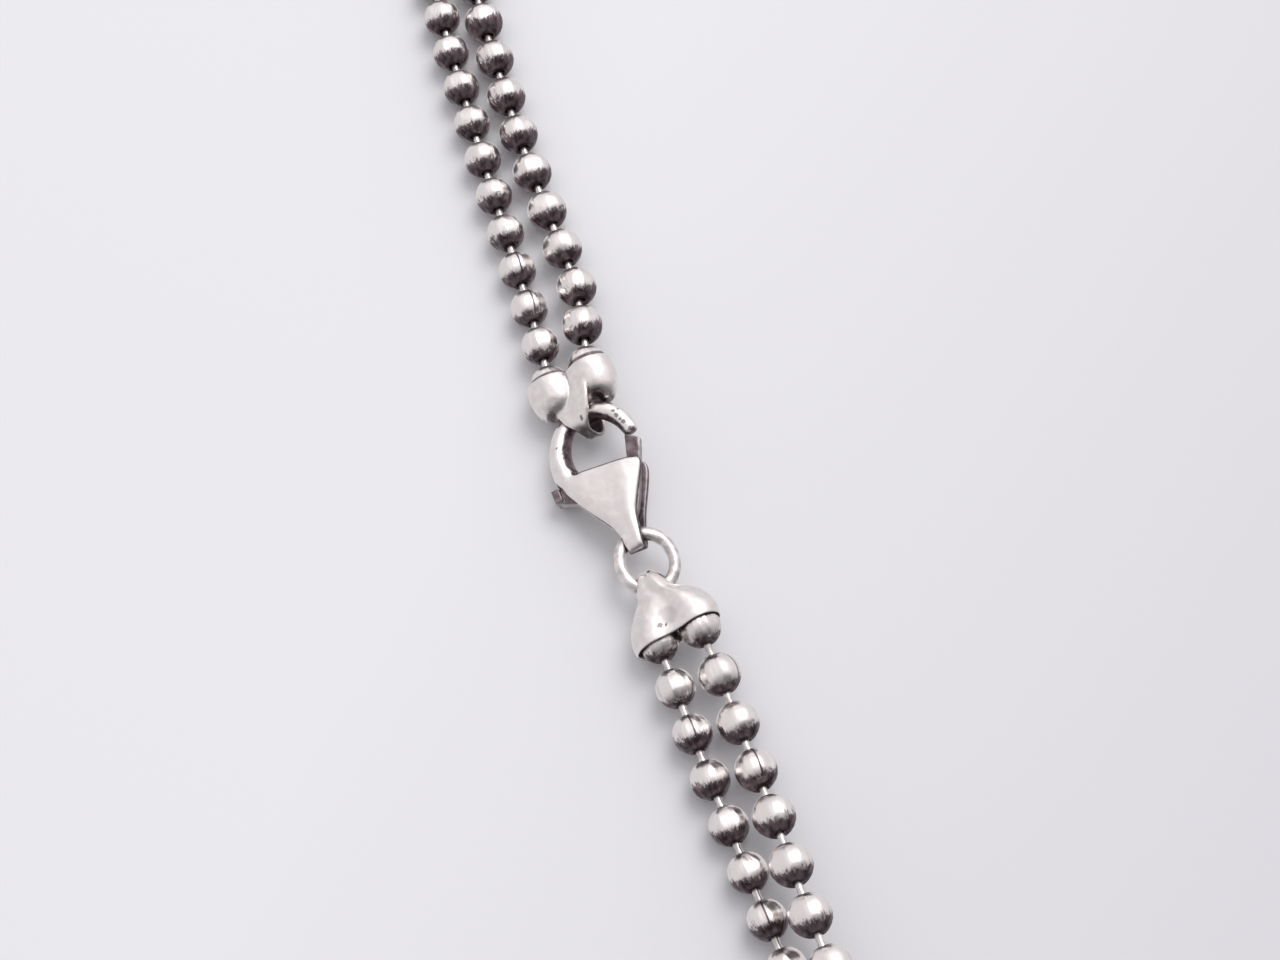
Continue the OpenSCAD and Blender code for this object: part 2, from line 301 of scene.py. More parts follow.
def string_beads(name, chain, across, seams_up, tones, seed):
    """Copies the bead to every place of a chain and joins the copies."""
    dice = random.Random(seed)
    size = Matrix.Scale(across / 2 / BEAD_R, 4)
    copies = []
    for i, (middle, way) in enumerate(zip(chain, ways(chain))):
        level = Vector((way.y, -way.x, 0)).normalized()
        up = level.cross(way)
        spin = math.radians(seams_up.get(i, dice.uniform(*SEAM_DOWN)))
        seam = level * math.cos(spin) + up * math.sin(spin)
        frame_of_bead = Matrix((seam, way.cross(seam), way)).transposed().to_4x4()
        copy = bead.copy()
        copy.data = bead.data.copy()
        copy.data.transform(Matrix.Translation(middle) @ frame_of_bead @ size)
        tone = copy.data.attributes.new("bead_tone", "FLOAT", "POINT")
        dark = tones.get(i, USUAL_TONE) + dice.uniform(-TONE_SPREAD, TONE_SPREAD)
        tone.data.foreach_set("value", [dark] * len(copy.data.vertices))
        bpy.context.scene.collection.objects.link(copy)
        copies.append(copy)
    choose(copies)
    bpy.ops.object.join()
    strand = bpy.context.object
    strand.name = strand.data.name = name
    print(name, "has", len(strand.data.polygons), "faces before rounding")
    return strand


stamp_place(bead)
outer_strand = string_beads("outer_strand", left_chain, OUTER_BEAD, SEAMS_UP_LEFT, OUTER_TONES, 3)
inner_strand = string_beads("inner_strand", right_chain, INNER_BEAD, SEAMS_UP_RIGHT, INNER_TONES, 8)
bpy.data.objects.remove(bead)

# %% [markdown]
# ## The wires
# A short piece of wire joins every two beads. It shows as a bright peg in the
# dark hole. One long curve through all the middles does this well, with a radius
# at each point: full inside the beads and a little thinner halfway between two.

# %% Wires
WIRE_R = 0.29
WIRE_WAIST = 0.8


def thread(name, chain):
    """A round wire through the middles of the beads, thinner in each gap."""
    path = bpy.data.curves.new(name, "CURVE")
    path.dimensions = "3D"
    path.bevel_depth = WIRE_R * MM
    path.bevel_resolution = 1
    path.use_fill_caps = True
    points = []
    for a, b in zip(chain, chain[1:]):
        points += [(a, 1), (a.lerp(b, 0.4), 1), (a.lerp(b, 0.5), WIRE_WAIST), (a.lerp(b, 0.6), 1)]
    points.append((chain[-1], 1))
    line = path.splines.new("POLY")
    line.points.add(len(points) - 1)
    for spot, (place, size) in zip(line.points, points):
        spot.co = (*place, 1)
        spot.radius = size
    wire = bpy.data.objects.new(name, path)
    bpy.context.scene.collection.objects.link(wire)
    choose([wire])
    bpy.ops.object.convert(target="MESH")
    bpy.ops.object.shade_smooth_by_angle(angle=math.radians(60))
    print(name, "has", len(wire.data.polygons), "faces")
    return wire


outer_wire = thread("outer_wire", left_chain)
inner_wire = thread("inner_wire", right_chain)

# %% [markdown]
# ## Rows of a cage
# The cups and the clasp are cast forms that swell and narrow along their length.
# Each starts as a plain block or rod, cut into rows across its length. A row is
# then sized, turned and moved to its place, as if drawing the form's section
# there. Subdivision makes the skin between the rows smooth.


# %% Cage helpers
def cut(axis, *places):
    """Cuts everything across an axis, at places in millimetres."""
    for place in places:
        bpy.ops.mesh.select_all(action="SELECT")
        bpy.ops.mesh.bisect(plane_co=[place * MM * (n == axis) for n in range(3)],
                            plane_no=[float(n == axis) for n in range(3)])


def cut_rows(axis, count):
    """Cuts a primitive of size two into evenly spaced rows."""
    cut(axis, *[-1 + 2 * j / (count - 1) for j in range(1, count - 1)])


def rod(name, sides, count):
    """A round bar along Y, cut into rows."""
    piece = begin(name, bpy.ops.mesh.primitive_cylinder_add, vertices=sides, radius=MM,
                  depth=2 * MM, rotation=(math.radians(90), 0, 0))
    bpy.ops.object.mode_set(mode="OBJECT")
    bpy.ops.object.transform_apply(rotation=True)
    bpy.ops.object.mode_set(mode="EDIT")
    cut_rows(1, count)
    return piece


def rows_of(piece, axis):
    """Numbers of the corners in each row of a cage, in order along an axis."""
    mesh = bmesh.from_edit_mesh(piece.data)
    mesh.verts.index_update()
    rows = {}
    for corner in mesh.verts:
        rows.setdefault(round(corner.co[axis] / MM, 3), set()).add(corner.index)
    return [rows[key] for key in sorted(rows)]


def take(piece, numbers):
    """Selects corners by their numbers."""
    bpy.ops.mesh.select_mode(type="VERT")
    bpy.ops.mesh.select_all(action="DESELECT")
    mesh = bmesh.from_edit_mesh(piece.data)
    for corner in mesh.verts:
        corner.select_set(corner.index in numbers)
    mesh.select_flush(True)
    bmesh.update_edit_mesh(piece.data)


def place_row(piece, row, half, at, heading=0):
    """Sizes a row of unit size across and in thickness, turns it and moves it."""
    take(piece, row)
    scale(half[0], 0, half[1])
    turn(heading, "Z")
    move(*at)


def settle(piece, place):
    """Moves a finished mesh into the part's frame and leaves its object at the origin."""
    piece.data.transform(place)
    piece.data.update()


# %% [markdown]
# ## Casting
# The clasp and the cups are cast silver: several forms flow together, and their
# inner corners are soft. Here each form is modelled on its own first. Then the
# parts are joined, and a voxel remesh fuses them into one skin, as casting does.
# A few rounds of smoothing soften the corners. Remesh works in steps of a tenth
# of a millimetre at the least, so a casting is made ten times as large for that
# step and then brought back.


# %% Casting helpers
CAST_LARGER = 10


def bake(piece):
    """Applies all modifiers of a piece."""
    choose([piece])
    for step in list(piece.modifiers):
        bpy.ops.object.modifier_apply(modifier=step.name)


def cast(name, parts, voxel, rounds):
    """Fuses parts into one skin by a voxel remesh and softens its corners."""
    for part in parts:
        bake(part)
    choose(parts)
    if len(parts) > 1:
        bpy.ops.object.join()
    casting = bpy.context.object
    casting.name = casting.data.name = name
    casting.data.transform(Matrix.Scale(CAST_LARGER, 4))
    casting.data.remesh_voxel_size = CAST_LARGER * voxel * MM
    bpy.ops.object.voxel_remesh()
    casting.data.transform(Matrix.Scale(1 / CAST_LARGER, 4))
    bpy.ops.object.mode_set(mode="EDIT")
    bpy.ops.mesh.select_all(action="SELECT")
    bpy.ops.mesh.vertices_smooth(factor=0.5, repeat=rounds)
    bpy.ops.object.mode_set(mode="OBJECT")
    for face in casting.data.polygons:
        face.use_smooth = True
    print(name, "cast in", len(casting.data.polygons), "faces")
    return casting


def blend(piece, at, reach, rounds):
    """Smooths one place of a casting, as a file and a polishing wheel do."""
    choose([piece])
    bpy.ops.object.mode_set(mode="EDIT")
    for share in (1, 0.85, 0.7):
        pick(piece, "VERT", lambda p, n: (p - Vector(at)).length < reach * share)
        bpy.ops.mesh.vertices_smooth(factor=0.5, repeat=rounds)
    bpy.ops.object.mode_set(mode="OBJECT")


def tilted(at, turned, lean, roll):
    """Place of a casting: leaned and rolled, turned on the table, then moved."""
    return (Matrix.Translation(Vector(at) * MM) @ Matrix.Rotation(math.radians(turned), 4, "Z")
            @ Matrix.Rotation(math.radians(lean), 4, "X") @ Matrix.Rotation(math.radians(roll), 4, "Y"))


# %% [markdown]
# ## The upper end cup
# Each strand ends in a cup, and the two cups are one casting. The upper one shows
# its front: two round lobes, and over the groove between them a strap that runs
# down, turns round at the tip and comes back on the rear. The loop it makes is
# the bail. A lobe is a cylinder cut into rows, each scaled to its place. Its mouth
# is inset and pushed inward. The right lobe has a dimple beside the strap, where
# the hook passes. The strap is a flat bar, bent row by row. After casting, the
# places where the strap runs out into the lobes are smoothed once more.


# %% Cup helpers
CUP_WALL = 0.16


def shrink_of(sides):
    """Share of its radius that a round cage keeps when it is subdivided."""
    return (2 + math.cos(2 * math.pi / sides)) / 3


def hollow(steps, middle=0):
    """Insets the picked mouth by the wall and pushes it in. A step is a depth and a width."""
    bpy.ops.mesh.inset(thickness=CUP_WALL * MM, use_even_offset=True)
    for deeper, narrower in steps:
        bpy.ops.mesh.extrude_region_move()
        scale(narrower, 1, narrower, about=(middle, 0, 0))
        move(y=-deeper)


# %% Lobes of the upper cup
LOBE_SIDES = 12
LOBE_AT = 1.56
LEFT_LOBE = [
    (-3.02, 0.6), (-2.86, 1), (-2.4, 1.45), (-1.8, 1.74), (-1.1, 1.87), (-0.5, 1.87), (0.16, 1.78)]
RIGHT_LOBE = [
    (-3.12, 0.6), (-2.96, 0.95), (-2.5, 1.35), (-1.8, 1.64), (-1.1, 1.76), (-0.5, 1.76), (0.16, 1.7)]


def lobe(name, middle, rows):
    """One round cup, open toward the strand. Each row holds its place along and its radius."""
    part = rod(name, LOBE_SIDES, len(rows))
    for row, (along, r) in zip(rows_of(part, 1), rows):
        cage_r = r / shrink_of(LOBE_SIDES)
        place_row(part, row, (cage_r, cage_r), (middle, along, 0))
    pick(part, "FACE", lambda p, n: n.y > 0.5 and p.y > 0)
    hollow(((0.5, 0.99), (0.6, 0.85), (0.4, 0.6)), middle)
    return part


left_lobe = close_up(lobe("left_lobe", -LOBE_AT, LEFT_LOBE), 2)
right_lobe = lobe("right_lobe", LOBE_AT, RIGHT_LOBE)
DIMPLE_AT = Vector((1.3, -2.75, 0.8))
DIMPLE_R = 0.6
dimpled = pick(right_lobe, "VERT", lambda p, n: (p - DIMPLE_AT).length < DIMPLE_R)
move(y=0.55, z=-0.5)
close_up(right_lobe, 2)
print("corners in the right lobe's dimple:", dimpled)

# %% Strap of the upper cup
STRAP_COLUMNS = (-0.6, 0, 0.6)
STRAP_CREST = (0, -0.3, -0.5, 0, 0.3)
STRAP_ROWS = [
    (-1.0, -1.1, -0.8, 0.8, 0, 0.4), (-1.8, -1.2, -1.2, 1.2, 0, 0.4), (-2.6, -1.22, -1.4, 1.4, 0, 0.4),
    (-3.3, -1.16, -1.2, 1.2, 0, 0.38), (-3.9, -1.08, -0.8, 1, 0, 0.36),
    (-4.5, -1, -0.5, 0.84, 0, 0.34), (-4.9, -0.8, -0.4, 0.66, 0, 0.32),
    (-5.02, -0.42, -0.48, 0.46, 0, 0.3), (-4.88, 0, -0.64, 0.24, 0, 0.3),
    (-4.68, 0.4, -0.84, 0.08, 5, 0.32), (-4.45, 0.74, -1.04, 0.12, 8, 0.34),
    (-4.12, 0.98, -1.34, 0.32, 10, 0.36), (-3.6, 1.08, -1.72, 0.62, 12, 0.38),
    (-3.0, 1.12, -2.0, 0.9, 14, 0.4), (-2.4, 1.2, -1.7, 1.15, 16, 0.4),
    (-1.8, 1.2, -0.9, 1.3, 18, 0.4), (-1.1, 1.22, -0.4, 1.3, 20, 0.4),
    (-0.4, 1.17, -0.35, 0.88, 22, 0.34), (0.06, 1.03, -0.3, 0.5, 23, 0.28)]


def strap(name, rows):
    """A bar bent into a loop. Each row holds: place along and above, left and right end,
    tilt to the left, and thickness."""
    part = begin(name, bpy.ops.mesh.primitive_cube_add, size=2 * MM)
    cut(0, *STRAP_COLUMNS)
    cut_rows(1, len(rows))
    outer = rows_of(part, 2)[-1]
    for column, rise in zip(rows_of(part, 0), STRAP_CREST):
        take(part, column & outer)
        move(z=rise)
    for j, (row, (along, above, left, right, tilt, thick)) in enumerate(zip(rows_of(part, 1), rows)):
        before, after = neighbours(rows, j)
        take(part, row)
        scale((right - left) / 2, 0, thick / 2)
        turn(-tilt, "Y")
        turn(math.degrees(math.atan2(after[1] - before[1], after[0] - before[0])), "X")
        move((left + right) / 2, along, above)
    return close_up(part, 2)


# %% Cast the upper cup
upper_place = tilted((-38.11, 7.08, 2.3), 4, 1, -17)
upper_parts = [left_lobe, right_lobe, strap("strap", STRAP_ROWS)]
upper_cup = cast("upper_cup", upper_parts, voxel=0.06, rounds=4)
blend(upper_cup, (1.25, -1.1, 1.7), reach=0.8, rounds=16)
blend(upper_cup, (-1.45, -2.2, 1.3), reach=0.75, rounds=20)
blend(upper_cup, (-1.7, -3.0, 0.8), reach=0.75, rounds=20)
settle(upper_cup, upper_place)

# %% [markdown]
# ## The lower end cup
# The lower cup lies with its smooth side up. It opens round the last two beads,
# narrows to a tongue and ends in its bail. No inner corner shows, so a single
# cage is enough: a block of seven columns and thirteen rows. The middle column is
# pressed in, which leaves a valley between the lobes, and the one beside it is
# raised near the bail as a soft crest. The side faces near the tip are deleted
# and bridged, which makes the bail's hole. The mouth is inset and pushed inward.

# %% Cage of the lower cup
CUP_COLUMNS = (-0.78, -0.44, 0, 0.44, 0.78)
CUP_SIDE = 0.72
CUP_ROWS = [
    (-5.34, 0.42, 0.95, 0.14, 0, 1, 0, 1, 0), (-5.24, 0.2, 1.14, 0.5, 0, 1, 0, 1, 0.1),
    (-4.95, -0.08, 1.32, 0.86, 0, 1, 0, 1, 0.2), (-4.35, -0.42, 1.55, 1.12, 0.05, 1, 0, 1, 0.3),
    (-3.75, -0.8, 1.72, 1.2, 0.15, 0.95, 0.1, 0.8, 0.35),
    (-3.3, -1.15, 1.85, 1.24, 0.25, 0.85, 0.3, 0.5, 0.35),
    (-3.1, -1.6, 2, 1.28, 0.32, 0.55, 0.8, 0.2, 0.35), (-2.8, -2.25, 2.25, 1.38, 0.42, 0.5, 1, 0, 0.35),
    (-2.3, -2.75, 2.6, 1.56, 0.6, 0.7, 1, 0, 0.3), (-1.6, -3.12, 3.05, 1.76, 0.8, 0.8, 1, 0, 0.15),
    (-1, -3.25, 3.32, 1.88, 0.9, 0.83, 1, 0, 0), (-0.45, -3.26, 3.42, 1.92, 0.95, 0.83, 1, 0, 0),
    (0.1, -3.24, 3.32, 1.9, 0.95, 0.83, 1, 0, 0)]
lower_cup = begin("lower_cup", bpy.ops.mesh.primitive_cube_add, size=2 * MM)
cut(0, *CUP_COLUMNS)
cut_rows(1, len(CUP_ROWS))
cut(2, -CUP_SIDE, CUP_SIDE)
columns = rows_of(lower_cup, 0)
rows = rows_of(lower_cup, 1)
layers = rows_of(lower_cup, 2)
faces = layers[0] | layers[-1]
edges = columns[0] | columns[-1]
shoulders = columns[1] | columns[-2]
print("lower cup:", len(columns), "columns and", len(rows), "rows")


# %% Shape the rows of the lower cup
def round_side(cup, row, rounded):
    """Pulls in the side corners of a row: a little when rounded is 0, far when it is 1."""
    take(cup, row & edges & faces)
    scale(0.88 + 0.06 * rounded, 1, 0.88 - 0.4 * rounded)
    take(cup, (row & edges) - faces)
    scale(1, 1, 1 - 0.75 * rounded)


VALLEY = 0.7
RIM = 0.1
RIM_TURN = 8
RIM_TURN_LONG = 1.6
BAIL_TWIST = 12
# Each row holds: place along, left and right end, height, depth of the valley, height of
# the shoulders, how round the sides are, share of the bail's twist, and height of the crest
for row, (along, left, right, high, press, drop, rounded, twist, crest) in zip(rows, CUP_ROWS):
    take(lower_cup, row & columns[3] & faces)
    scale(1, 1, 1 - VALLEY * press / high)
    take(lower_cup, row & columns[2] & layers[-1])
    move(z=crest / high)
    take(lower_cup, row & shoulders & faces)
    scale(1, 1, drop)
    round_side(lower_cup, row, rounded)
    heading = RIM_TURN * max(0, 1 + (along - RIM) / RIM_TURN_LONG)
    place_row(lower_cup, row, ((right - left) / 2, high), ((right + left) / 2, along, 0), heading)
    turn(BAIL_TWIST * twist, "Y", about=(0, along, 0))

# %% Bail and mouth of the lower cup
BAIL_ROWS = slice(2, 6)
take(lower_cup, set().union(*rows[BAIL_ROWS]) & (edges - faces))
bpy.ops.mesh.delete(type="ONLY_FACE")
bpy.ops.mesh.select_mode(type="EDGE")
bpy.ops.mesh.select_all(action="DESELECT")
bpy.ops.mesh.select_non_manifold()
bpy.ops.mesh.bridge_edge_loops(number_cuts=1)
mouth = pick(lower_cup, "FACE", lambda p, n: n.y > 0.5 and p.y > -0.42)
print("faces of the mouth:", mouth)
hollow(((0.5, 0.97), (0.6, 0.82), (0.3, 0.6)))
close_up(lower_cup, 3)
lower_place = tilted((-36.42, -14.3, 2.3), 181, 1, 16)
settle(lower_cup, lower_place)

# %% [markdown]
# ## The clasp's body
# A lobster clasp is cast in one: two plates with a slot between them, a hook that
# springs from their left corner, and a barrel at the tail for the jump ring. The
# front plate has a raised ridge along its right side, which catches the light,
# and it is trimmed there, so that the slot shows. The rear plate is flatter, and
# shorter at the tail. Each part is made on its own, and they are cast like the
# upper cup. Then the root of the hook and the front plate's corner, which fingers
# rub most, are smoothed further.

# %% Clasp plates
SLOT_HALF = 0.56
PLATE_COLUMNS = (-0.9, -0.45, 0.1, 0.5, 0.76, 0.93)
PLATE_LAYERS = (-0.8, 0.1)
RELIEF = (-1.3, -0.55, -0.2, -0.1, 0.28, -0.05, -0.45, -1.1)
REAR_RELIEF = [min(rise, -0.04) for rise in RELIEF]
REAR_SHORTER = 0.45
PLATE_ROWS = [
    (-3.3, -0.56, 0.56, 0.66, 0, 0.08), (-3.18, -0.67, 0.67, 0.9, 0, 0.1), (-2.7, -0.7, 0.7, 1.1, 0, 0.08),
    (-1.8, -0.76, 0.84, 1.14, 0, 0.05), (-1.1, -0.98, 1.08, 1.18, 0, 0.2), (-0.5, -1.32, 1.3, 1.24, 0, 0.27),
    (0.3, -1.84, 1.7, 1.32, 0, 0.28), (1.2, -2.4, 2.15, 1.34, 0, 0.24), (2.1, -2.92, 2.56, 1.34, -1, 0.16),
    (2.8, -3.38, 2.76, 1.34, -3, 0.08), (3.4, -3.6, 2.72, 1.3, -7, 0), (3.66, -3.5, 2.56, 1.16, -8, 0)]


def plate(name, side, relief):
    """A plate of the clasp. Side is 1 for the front or -1. Each row holds: place along,
    left and right end, height, turn, and what is trimmed off the front plate's right."""
    part = begin(name, bpy.ops.mesh.primitive_cube_add, size=2 * MM)
    cut(0, *PLATE_COLUMNS)
    cut_rows(1, len(PLATE_ROWS))
    cut(2, *PLATE_LAYERS)
    outer = rows_of(part, 2)[-1]
    for column, rise in zip(rows_of(part, 0), relief):
        take(part, column & outer)
        move(z=rise)
    for row, (along, left, right, high, heading, trim) in zip(rows_of(part, 1), PLATE_ROWS):
        half = (high - SLOT_HALF) / 2
        along += REAR_SHORTER if side < 0 and along < -2 else 0
        right -= trim if side > 0 else 0
        place_row(part, row, ((right - left) / 2, half),
                  ((right + left) / 2, along, SLOT_HALF + half), heading)
    if side < 0:
        bpy.ops.mesh.select_all(action="SELECT")
        scale(1, 1, -1)
    return close_up(part, 2)


front_plate = plate("front_plate", 1, RELIEF)
rear_plate = plate("rear_plate", -1, REAR_RELIEF)

# %% Clasp hook
HOOK_SIDES = 8
HOOK_ROWS = [
    (-2.7, 3.7, 1.0, 1.2), (-2.88, 4.1, 0.94, 1.24), (-2.93, 4.7, 0.87, 1.22), (-2.9, 5.2, 0.85, 1.2),
    (-2.8, 5.8, 0.8, 1.15), (-2.5, 6.5, 0.76, 1.05), (-2.1, 7.2, 0.72, 0.92),
    (-1.5, 7.75, 0.68, 0.78), (-0.6, 8.1, 0.64, 0.66), (0.3, 8.2, 0.66, 0.64),
    (0.95, 8.1, 0.68, 0.64), (1.6, 7.7, 0.7, 0.65), (2.15, 7.05, 0.67, 0.62),
    (2.54, 6.3, 0.62, 0.6), (2.74, 5.45, 0.58, 0.56), (2.78, 5.24, 0.42, 0.42)]

hook = rod("hook", HOOK_SIDES, len(HOOK_ROWS))
kept_share = shrink_of(HOOK_SIDES)
# Each row holds: place across and along, half width and half thickness
for j, (row, (across, along, wide, thick)) in enumerate(zip(rows_of(hook, 1), HOOK_ROWS)):
    before, after = neighbours(HOOK_ROWS, j)
    heading = math.degrees(math.atan2(after[1] - before[1], after[0] - before[0])) - 90
    place_row(hook, row, (wide / kept_share, thick / kept_share), (across, along, 0), heading)
close_up(hook, 2)

# %% Clasp tail
TAIL = (-0.02, -2.2, 0.08)
TAIL_TURN = -4
TAIL_R = 0.98
TAIL_HOLE_R = 0.76
TAIL_HALF = 0.66
TAIL_SIDES = 20

tail = begin("tail", bpy.ops.mesh.primitive_cylinder_add, vertices=TAIL_SIDES, radius=TAIL_R * MM,
             depth=2 * TAIL_HALF * MM, end_fill_type="NOTHING")
bpy.ops.mesh.primitive_cylinder_add(vertices=TAIL_SIDES, radius=TAIL_HOLE_R * MM,
                                    depth=2 * TAIL_HALF * MM, end_fill_type="NOTHING")
for end in (-1, 1):
    pick(tail, "EDGE", lambda p, n: abs(p.z - end * TAIL_HALF) < 0.01 and abs(n.z) < 0.1)
    bpy.ops.mesh.bridge_edge_loops()
close_up(tail)
settle(tail, Matrix.Translation(Vector(TAIL) * MM)
       @ Matrix.Rotation(math.radians(TAIL_TURN), 4, "Z") @ Matrix.Rotation(math.radians(90), 4, "Y"))

# %% Cast the clasp
clasp_place = tilted((-37.4, -4.31, 2.2), 4, 0, -16)
clasp = cast("clasp", [front_plate, rear_plate, hook, tail], voxel=0.055, rounds=8)
for side in (-1, 1):
    blend(clasp, (-3.1, 3.75, 1.1 * side), reach=1.1, rounds=25)
    blend(clasp, (-2.2, 4.0, 1.0 * side), reach=0.7, rounds=20)
blend(clasp, (2.55, 3.5, 1.0), reach=0.85, rounds=25)
settle(clasp, clasp_place)

# %% [markdown]
# ## Lever, pin and jump ring
# The lever is stamped flat and then bent at its thumb tab. Its outline must fit
# the slot, so a copy of the CAD lever is merged and softened in the same way as
# the body. The gate's outer corner is worn rounder than the rest. The pin is a
# rivet with a slightly domed head. The jump ring is round wire. It is pulled a
# little longer than wide, because the clasp and the cup draw on its ends.

# %% Lever
LEVER_CORNER = clasp_place @ (Vector((3.25, 4.64, 0)) * MM) / MM
lever_copy = merged_copy("clasp_lever")
bpy.ops.object.mode_set(mode="OBJECT")
lever = cast("lever", [lever_copy], voxel=0.06, rounds=6)
blend(lever, LEVER_CORNER, reach=0.9, rounds=30)

# %% Pin
PIN_R = 0.35
PIN_HALF = 1.2
PIN_DOME = ((0.06, 0.04), (0.14, 0.02))
pin = begin("pin", bpy.ops.mesh.primitive_cylinder_add, vertices=16, radius=PIN_R * MM,
            depth=2 * PIN_HALF * MM)
for end in (-1, 1):
    pick(pin, "FACE", lambda p, n: p.z * end > PIN_HALF - 0.01)
    for inward, rise in PIN_DOME:
        bpy.ops.mesh.inset(thickness=inward * MM)
        move(z=end * rise)
close_up(pin, 2)
settle(pin, clasp_place)

# %% Jump ring
RING_R = 1.98
RING_LONG = 2.17
RING_WIDE = 1.92
RING_WIRE_R = 0.45
RING_SIDES = 8
RING_SHIFT = Vector((0.2, -0.03, 0)) * MM
BAIL_MIDDLE = Vector((0.5, -4.05, 0)) * MM

tail_hole = clasp_place @ (Vector(TAIL) * MM)
lower_bail = lower_place @ BAIL_MIDDLE
ring_way = lower_bail - tail_hole
ring_tilt = -math.atan2(ring_way.z, math.hypot(ring_way.x, ring_way.y))
ring = begin("ring", bpy.ops.mesh.primitive_torus_add, major_segments=24, minor_segments=RING_SIDES,
             major_radius=RING_R * MM, minor_radius=RING_WIRE_R / shrink_of(RING_SIDES) * MM)
close_up(ring, 2)
settle(ring, Matrix.Translation((tail_hole + lower_bail) / 2 + RING_SHIFT)
       @ Matrix.Rotation(math.atan2(ring_way.y, ring_way.x), 4, "Z")
       @ Matrix.Rotation(ring_tilt, 4, "Y")
       @ Matrix.Diagonal((RING_LONG / RING_R, RING_WIDE / RING_R, 1, 1)))

# %% [markdown]
# ## Finishes: helpers
# Silver is a metal, so its colour is the colour of its reflections. Colours are
# written as on a screen, and one function turns them to the linear values that
# Blender counts with. Another adds a node with all its settings and links. The
# mask helpers are short names for nodes that come again and again. They turn, join
# and fray numbers, and tell where a spot lies, how it faces and how open it is.


# %% Finish helpers
def tint(code):
    """An sRGB colour such as B8A9A0 as the linear values that Blender wants."""
    parts = [int(code[i:i + 2], 16) / 255 for i in (0, 2, 4)]
    return [c / 12.92 if c <= 0.04045 else ((c + 0.055) / 1.055) ** 2.4 for c in parts] + [1]


def add_node(tree, kind, inputs=None, **settings):
    """Adds a node. Inputs are values or outputs of other nodes, by socket."""
    made = tree.nodes.new("ShaderNode" + kind)
    for key, value in settings.items():
        setattr(made, key, value)
    for key, value in (inputs or {}).items():
        if isinstance(value, bpy.types.NodeSocket):
            tree.links.new(value, made.inputs[key])
        else:
            made.inputs[key].default_value = value
    return made


def fresh(name):
    """An empty material with its shader and output joined."""
    finish = bpy.data.materials.new(name)
    finish.use_nodes = True
    tree = finish.node_tree
    tree.nodes.clear()
    shader = add_node(tree, "BsdfPrincipled")
    add_node(tree, "OutputMaterial", {"Surface": shader.outputs[0]})
    return finish, tree, shader


# %% Mask helpers
def between(tree, value, low, high, to_low=0, to_high=1, soft=True):
    """Turns the values from low to high into to_low to to_high."""
    step = add_node(tree, "MapRange", {0: value, 1: low, 2: high, 3: to_low, 4: to_high},
                    interpolation_type="SMOOTHSTEP" if soft else "LINEAR")
    return step.outputs[0]


def combine(tree, how, *values):
    """Combines numbers two by two, such as by adding them or taking the larger one."""
    total = values[0]
    for value in values[1:]:
        total = add_node(tree, "Math", {0: total, 1: value}, operation=how).outputs[0]
    return total


def unsigned(tree, value):
    """The size of a number, without its sign."""
    return add_node(tree, "Math", {0: value}, operation="ABSOLUTE").outputs[0]


def vector(tree, how, *inputs):
    """Works out a vector, or a number where the operation gives one."""
    step = add_node(tree, "VectorMath", dict(enumerate(inputs)), operation=how)
    return step.outputs["Value" if how in ("DOT_PRODUCT", "LENGTH", "DISTANCE") else "Vector"]


def mix(tree, share, a, b):
    """Colour a turning into colour b as the share goes from 0 to 1."""
    return add_node(tree, "Mix", {0: share, 6: a, 7: b}, data_type="RGBA").outputs[2]


def turned_to(tree, way):
    """How far the surface faces a direction, from -1 to 1."""
    return vector(tree, "DOT_PRODUCT", add_node(tree, "NewGeometry").outputs["Normal"], way)


def openness(tree, reach, samples):
    """From 0 in a tight gap to 1 in the open. Reach is how far it looks, in millimetres."""
    return add_node(tree, "AmbientOcclusion", {"Distance": reach * MM}, samples=samples).outputs["AO"]


def grain_of(size, unit=MM):
    """Noise scale for grains of a size in millimetres. Unit is a millimetre in what the
    noise reads: bead_place counts in millimetres, all else in metres."""
    return 1 / (size * unit)


def noise(tree, spot, scale, detail, **inputs):
    """Random grain from 0 to 1."""
    inputs = {"Vector": spot, "Scale": scale, "Detail": detail, **inputs}
    return add_node(tree, "TexNoise", inputs).outputs[0]


def fray(tree, grain, reach):
    """Grain as a shift of up to reach either way, which frays the edge of a mask."""
    return between(tree, grain, 0, 1, -reach, reach, soft=False)


# %% [markdown]
# ## Worn sterling silver
# The real parts are cast, rolled or drawn sterling silver, polished and then worn.
# The high places are bright, with soft hairlines that blur what they mirror. In low
# places, where no sleeve rubs, silver sulphide has built up: a warm dark grey,
# rough film. The same film colour is also laid on as painted shade, where the
# silver lies in shade or mirrors the dark near side of the room. So each finish
# first works out how dark a spot is, from 0 to 1.
# One helper then turns that into colour, roughness and relief, the same for all.
# The relief has dents and flat facets about a millimetre wide, and hairlines that
# are drawn wider than real ones, or they would not show at this distance.

# %% Silver and its film
SILVER = "F3EDE9"
# The film colours and roughness stand for film and also for painted shade
FILM_AND_SHADE_DEEP = "54444A"
FILM_AND_SHADE_PALE = "877A7D"
FILM_AND_SHADE_ROUGH = 0.44
# Painted shade: the side that looks down and towards the near edge of the picture is painted dark
PAINTED_SHADE_SIDE = Vector((0.03, -0.927, -0.373))
# Sizes in millimetres
FACET = 0.9
DENT = 0.8
BLOTCH = 0.5
HAIRLINE = 0.12
HAIRLINE_DEEP = 0.006


